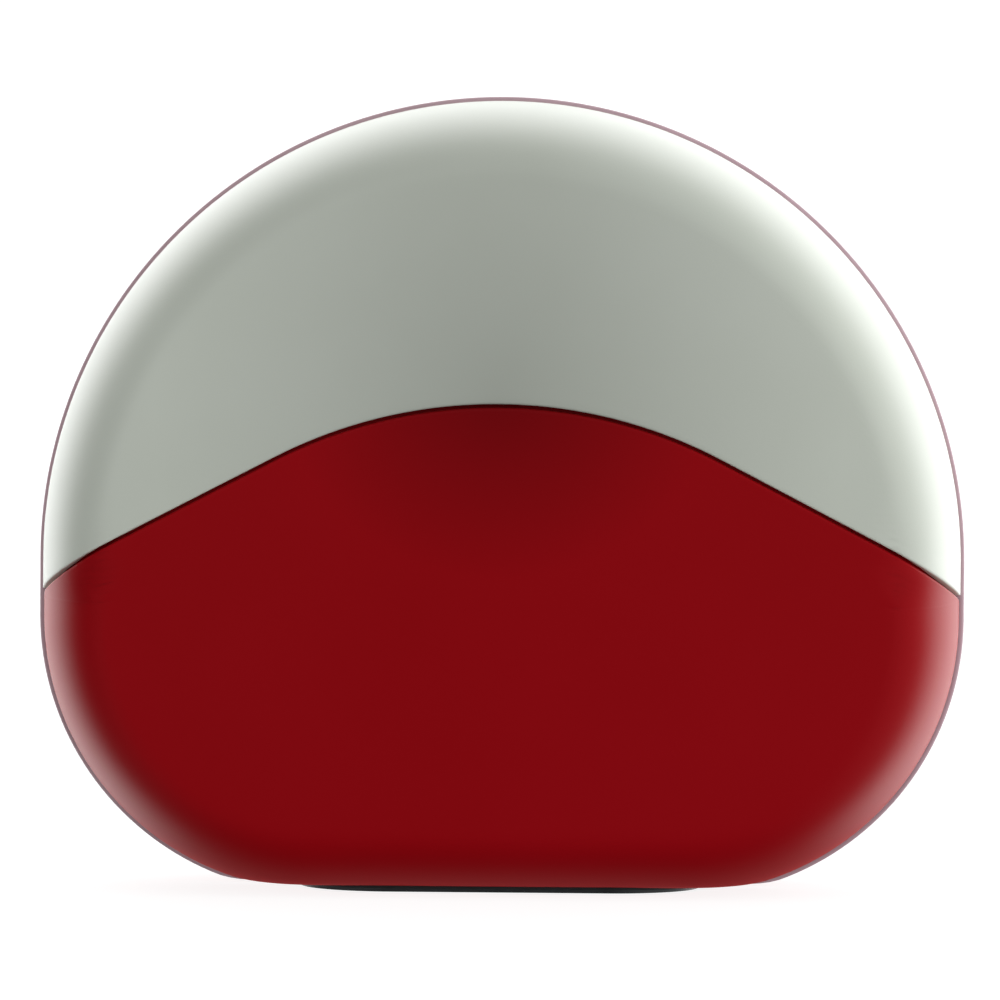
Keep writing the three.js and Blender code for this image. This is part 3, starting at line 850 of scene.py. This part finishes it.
def node(tree, kind, links=None, settings=None, **values):
    """Adds a node. links gives sockets by name, settings its properties, values its inputs."""
    made = tree.nodes.new(kind)
    for key, value in (settings or {}).items():
        setattr(made, key, value)
    for key, value in values.items():
        made.inputs[key.replace("_", " ")].default_value = value
    for key, source in (links or {}).items():
        tree.links.new(source, made.inputs[key])
    return made


def material(name, slot, swatch, roughness, metallic=0.0, ior=None, specular=None):
    """A new material with its shader, and the place in object space that its patterns read."""
    made = bpy.data.materials.new(name)
    made.use_nodes = True
    tree = made.node_tree
    shader = tree.nodes["Principled BSDF"]
    shader.inputs["Base Color"].default_value = linear(swatch)
    shader.inputs["Roughness"].default_value = roughness
    shader.inputs["Metallic"].default_value = metallic
    if ior is not None:
        shader.inputs["IOR"].default_value = ior
    if specular is not None:
        shader.inputs["Specular IOR Level"].default_value = specular
    finishes[slot] = made
    return tree, shader, node(tree, "ShaderNodeTexCoord").outputs["Object"]


def mottled(tree, shader, place, size, low, high, detail=3.0):
    """Lets the base colour wander between two swatches over patches of a size."""
    noise = node(tree, "ShaderNodeTexNoise", {"Vector": place}, Scale=1 / size, Detail=detail)
    ramp = node(tree, "ShaderNodeValToRGB", {"Fac": noise.outputs["Fac"]})
    ramp.color_ramp.elements[0].position = 0.3
    ramp.color_ramp.elements[1].position = 0.7
    ramp.color_ramp.elements[0].color = linear(low)
    ramp.color_ramp.elements[1].color = linear(high)
    tree.links.new(ramp.outputs["Color"], shader.inputs["Base Color"])
    return ramp


def painted_arch_shade(tree, shader, place, ramp, height, reach, share):
    """Painted shade: darkens the ramp's colour to a share of it at a height on the front, and less outwards.

    reach is how far that goes to the sides and up. Front to back, it goes much further.
    """
    mapping = node(tree, "ShaderNodeMapping", {"Vector": place}, {"vector_type": "TEXTURE"})
    mapping.inputs["Location"].default_value = (0, -HALF_DEPTH, height)
    mapping.inputs["Scale"].default_value = (reach[0], 4 * reach[0], reach[1])
    centred = {"Vector": mapping.outputs["Vector"]}
    # The spherical gradient is the mask of the painted shade.
    shade_spread = node(tree, "ShaderNodeTexGradient", centred, {"gradient_type": "SPHERICAL"})
    # A Mix node has sockets for every type of data: the colours go into 6 and 7, and come out of 2.
    multiply = {"data_type": "RGBA", "blend_type": "MULTIPLY"}
    mix = node(tree, "ShaderNodeMix", {"Factor": shade_spread.outputs["Fac"]}, multiply)
    tree.links.new(ramp.outputs["Color"], mix.inputs[6])
    mix.inputs[7].default_value = (share, share, share, 1)
    tree.links.new(mix.outputs[2], shader.inputs["Base Color"])


def grained(tree, shader, place, size, height):
    """A fine bump all over, with grains of a size and a height in metres."""
    noise = node(tree, "ShaderNodeTexNoise", {"Vector": place}, Scale=1 / size, Detail=2.0)
    bump = node(tree, "ShaderNodeBump", {"Height": noise.outputs["Fac"]}, Strength=1.0, Distance=height)
    tree.links.new(bump.outputs["Normal"], shader.inputs["Normal"])


finishes = {}

# %% [markdown]
# ### Pale shells: moulded ABS, sage white
#
# ABS from a mould with a fine spark-eroded texture: a satin surface with a very soft reflection,
# a faint unevenness of the pigment over centimetres, and grain of about 0.2 mm. Round the top of
# the arch a painted shade makes the colour a third darker, and that fades out over the face.

# %% Pale moulded ABS
SHELL_GRAIN = 0.18 * MM
PIGMENT_DRIFT = 22 * MM
tree, shader, place = material("moulded_abs_sage_white", "pale_shell", "ecf3e7", 0.42, ior=1.54, specular=0.4)
ramp = mottled(tree, shader, place, PIGMENT_DRIFT, "e9f0e3", "eff6ea")
# painted shade: the colour is darkened by a third round the top of the arch
painted_arch_shade(tree, shader, place, ramp, SEAM_PEAK, (28 * MM, 40 * MM), 0.66)
grained(tree, shader, place, SHELL_GRAIN, 0.004 * MM)

# %% [markdown]
# ### Red shells: moulded ABS, dark red
#
# The same resin with an organic red pigment, which lets almost no green or blue back out. Round
# the top of the arch a painted shade halves the colour, and that fades out over the face. A thin
# reddish sheen makes the rolled edge glow where the light comes from behind.

# %% Red moulded ABS
tree, shader, place = material("moulded_abs_dark_red", "red_shell", "af0914", 0.42, ior=1.54, specular=0.06)
shader.inputs["Sheen Weight"].default_value = 0.35
shader.inputs["Sheen Roughness"].default_value = 0.3
shader.inputs["Sheen Tint"].default_value = linear("f03a34")
ramp = mottled(tree, shader, place, PIGMENT_DRIFT, "ad0813", "b10a16")
# painted shade: the colour is halved round the top of the arch and fades outwards
painted_arch_shade(tree, shader, place, ramp, SEAM_PEAK + 3 * MM, (18 * MM, 17 * MM), 0.5)
grained(tree, shader, place, SHELL_GRAIN, 0.004 * MM)

# %% [markdown]
# ### The other finishes
#
# The rim seal is a soft thermoplastic elastomer, matt and mauve grey. The base plate and the
# frame are glass-filled nylon, where fine fibres show as a streaky grain. The foam is a block of
# fused beads, so it has rounded cells of about 2 mm. The weight is die-cast zinc with a mottled
# skin, the screws and the hook are stainless steel, and the tube and the collar are turned brass.

# %% Elastomer, nylon, rubber, acetal and foam
tree, shader, place = material("mauve_elastomer", "rim_elastomer", "d8b6c0", 0.62, ior=1.5, specular=0.3)
mottled(tree, shader, place, 6 * MM, "d3b1bb", "dcbbc5")
grained(tree, shader, place, 0.12 * MM, 0.006 * MM)

tree, shader, place = material("glass_filled_nylon", "black_plastic", "24262a", 0.5, ior=1.53)
mottled(tree, shader, place, 1.2 * MM, "1f2124", "2d2f33", detail=6.0)
grained(tree, shader, place, 0.15 * MM, 0.008 * MM)

tree, shader, place = material("nitrile_rubber", "seal_rubber", "1b1b1d", 0.72, ior=1.52)
mottled(tree, shader, place, 2 * MM, "171719", "222224")
grained(tree, shader, place, 0.1 * MM, 0.006 * MM)

tree, shader, place = material("white_acetal", "white_acetal", "e9e9e4", 0.38, ior=1.48)
mottled(tree, shader, place, 5 * MM, "e4e4de", "ededea")
grained(tree, shader, place, 0.2 * MM, 0.003 * MM)

tree, shader, place = material("bead_foam", "foam", "f1f1ec", 0.85, ior=1.3)
BEAD = 2.2 * MM
beads = node(tree, "ShaderNodeTexVoronoi", {"Vector": place}, Scale=1 / BEAD)
ramp = node(tree, "ShaderNodeValToRGB", {"Fac": beads.outputs["Distance"]})
ramp.color_ramp.elements[0].color = linear("f5f5f1")
ramp.color_ramp.elements[1].color = linear("d9d9d2")
tree.links.new(ramp.outputs["Color"], shader.inputs["Base Color"])
bump = node(tree, "ShaderNodeBump", {"Height": beads.outputs["Distance"]}, Strength=0.6, Distance=0.3 * MM)
bump.invert = True
tree.links.new(bump.outputs["Normal"], shader.inputs["Normal"])

# %% Zinc, stainless steel and brass
tree, shader, place = material("die_cast_zinc", "zinc", "8d9094", 0.55, metallic=1.0)
mottled(tree, shader, place, 2.5 * MM, "7d8084", "9da0a4", detail=6.0)
grained(tree, shader, place, 0.4 * MM, 0.02 * MM)


def drawn_or_turned(name, slot, swatch, low, high, roughness, stretch):
    """A metal with fine lines: stretch is how much longer its marks are along each axis."""
    tree, shader, place = material(name, slot, swatch, roughness, metallic=1.0)
    mapping = node(tree, "ShaderNodeMapping", {"Vector": place}, Scale=stretch)
    mottled(tree, shader, mapping.outputs["Vector"], 0.25 * MM, low, high, detail=5.0)
    grained(tree, shader, mapping.outputs["Vector"], 0.12 * MM, 0.004 * MM)


drawn_or_turned("stainless_steel", "stainless", "c2c4c6", "b5b7b9", "cdcfd1", 0.28, (1, 1, 0.15))
drawn_or_turned("turned_brass", "brass", "c9a35a", "bd9750", "d3ae66", 0.3, (0.15, 0.15, 1))
print("finishes:", ", ".join(sorted(finishes)))

# %% Give every part its finish
for entry in frame["record"]["subparts"]:
    cad_node = frame["nodes"][entry["node"]]
    cad_node.data.materials.clear()
    cad_node.data.materials.append(finishes[entry["material_slot"]])
for piece in bpy.data.objects:
    if piece.type == "MESH" and "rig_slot" in piece:
        piece.data.materials.clear()
        piece.data.materials.append(finishes[piece["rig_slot"]])

# %% [markdown]
# ## The floor and the light
#
# The float stands on a plain white floor in a white room that is brightest behind it: the light
# comes round the edges, so the faces are even and quiet and the edges glow. It is a little weaker
# from the left, and there is almost none straight from below. A gradient over the world's
# directions does this without visible lamps. The floor takes part in no reflection, so no colour
# creeps up from below, and it can't be seen from underneath, so the base can.

# %% The floor
bm = bmesh.new()
bmesh.ops.create_grid(bm, x_segments=2, y_segments=2, size=6)
floor = made_object("floor", bm)
FLOOR_GREY = 0.3  # the share of the light that the floor gives back, so the shadow stays faint
FLOOR_GLOW = 0.88  # the floor's own light, which makes it near white
floor_material = bpy.data.materials.new("white_floor")
floor_material.use_nodes = True
floor_tree = floor_material.node_tree
floor_shader = floor_tree.nodes["Principled BSDF"]
floor_shader.inputs["Base Color"].default_value = (FLOOR_GREY, FLOOR_GREY, FLOOR_GREY, 1)
floor_shader.inputs["Roughness"].default_value = 0.9
floor_shader.inputs["Specular IOR Level"].default_value = 0
floor_shader.inputs["Emission Color"].default_value = (1, 1, 1, 1)
floor_shader.inputs["Emission Strength"].default_value = FLOOR_GLOW
from_below = node(floor_tree, "ShaderNodeNewGeometry").outputs["Backfacing"]
clear = node(floor_tree, "ShaderNodeBsdfTransparent")
either = node(floor_tree, "ShaderNodeMixShader", {"Fac": from_below})
floor_tree.links.new(floor_shader.outputs["BSDF"], either.inputs[1])
floor_tree.links.new(clear.outputs["BSDF"], either.inputs[2])
floor_tree.links.new(either.outputs["Shader"], floor_tree.nodes["Material Output"].inputs["Surface"])
floor.data.materials.append(floor_material)
floor.visible_diffuse = False
floor.visible_glossy = False

# %% The light
DARK_FRONT = 0.52  # the light from behind the camera
DARK_CONE, LIT_CONE = math.radians(14), math.radians(40)  # where it ends, and where the sides begin
SIDE_LIGHT = 0.8
BACK_LIGHT = 3.1
BACK_START, BACK_FULL = 0.3, 0.85  # how far back a direction points
LOW_SHARE = 0.05  # how much of the light there is straight below
LOW_START, LOW_FULL = -0.05, 0.45
SIDE_LIFT = 1.8  # how much sooner the light comes from low at the sides than from low in the middle
HIGH_SHARE = 0.65  # how much there is straight above
HIGH_START, HIGH_FULL = 0.3, 0.9
LEFT_SHARE, RIGHT_SHARE = 0.28, 1.15
LEFT_SHADE = math.radians(165)  # the middle of the weaker light: left, and a little above level
LEFT_START, LEFT_FULL = 0.45, 0.9

world = bpy.data.worlds.new("white room")
bpy.context.scene.world = world
world.use_nodes = True
tree = world.node_tree
background = tree.nodes["Background"]
direction = node(tree, "ShaderNodeTexCoord").outputs["Generated"]
axes = node(tree, "ShaderNodeSeparateXYZ", {"Vector": direction})


def eased(source, start, end, low, high):
    """A smooth change from low to high while a source goes from start to end."""
    ease = node(tree, "ShaderNodeMapRange", {"Value": source}, {"interpolation_type": "SMOOTHSTEP"})
    for socket, value in (("From Min", start), ("From Max", end), ("To Min", low), ("To Max", high)):
        ease.inputs[socket].default_value = value
    return ease.outputs["Result"]


def worked(operation, first, second=None, by=None):
    """Two sockets, or a socket and a number, put through a Math node."""
    step = node(tree, "ShaderNodeMath", settings={"operation": operation})
    tree.links.new(first, step.inputs[0])
    if second is None:
        step.inputs[1].default_value = by
    else:
        tree.links.new(second, step.inputs[1])
    return step.outputs["Value"]


rightward, backward, upward = (axes.outputs[name] for name in "XYZ")
front = eased(backward, -math.cos(DARK_CONE), -math.cos(LIT_CONE), DARK_FRONT, SIDE_LIGHT)
back = eased(backward, BACK_START, BACK_FULL, 1, BACK_LIGHT / SIDE_LIGHT)
sideways = worked("ABSOLUTE", rightward, by=0)
lifted = worked("ADD", upward, worked("MULTIPLY", sideways, by=SIDE_LIFT))
below = eased(lifted, LOW_START, LOW_FULL, LOW_SHARE, 1)
above = eased(upward, HIGH_START, HIGH_FULL, 1, HIGH_SHARE)
leftward = worked(
    "ADD",
    worked("MULTIPLY", rightward, by=math.cos(LEFT_SHADE)),
    worked("MULTIPLY", upward, by=math.sin(LEFT_SHADE)),
)
left = eased(leftward, LEFT_START, LEFT_FULL, 1, LEFT_SHARE)
right = eased(rightward, 0, 1, 1, RIGHT_SHARE)
strength = front
for share in (back, below, above, left, right):
    strength = worked("MULTIPLY", strength, share)
seen = node(tree, "ShaderNodeLightPath").outputs["Is Camera Ray"]
shown = node(tree, "ShaderNodeMix", {"Factor": seen, "A": strength}, B=1.0)
tree.links.new(shown.outputs["Result"], background.inputs["Strength"])
background.inputs["Color"].default_value = (1, 1, 1, 1)
bpy.context.scene.view_settings.view_transform = "Standard"
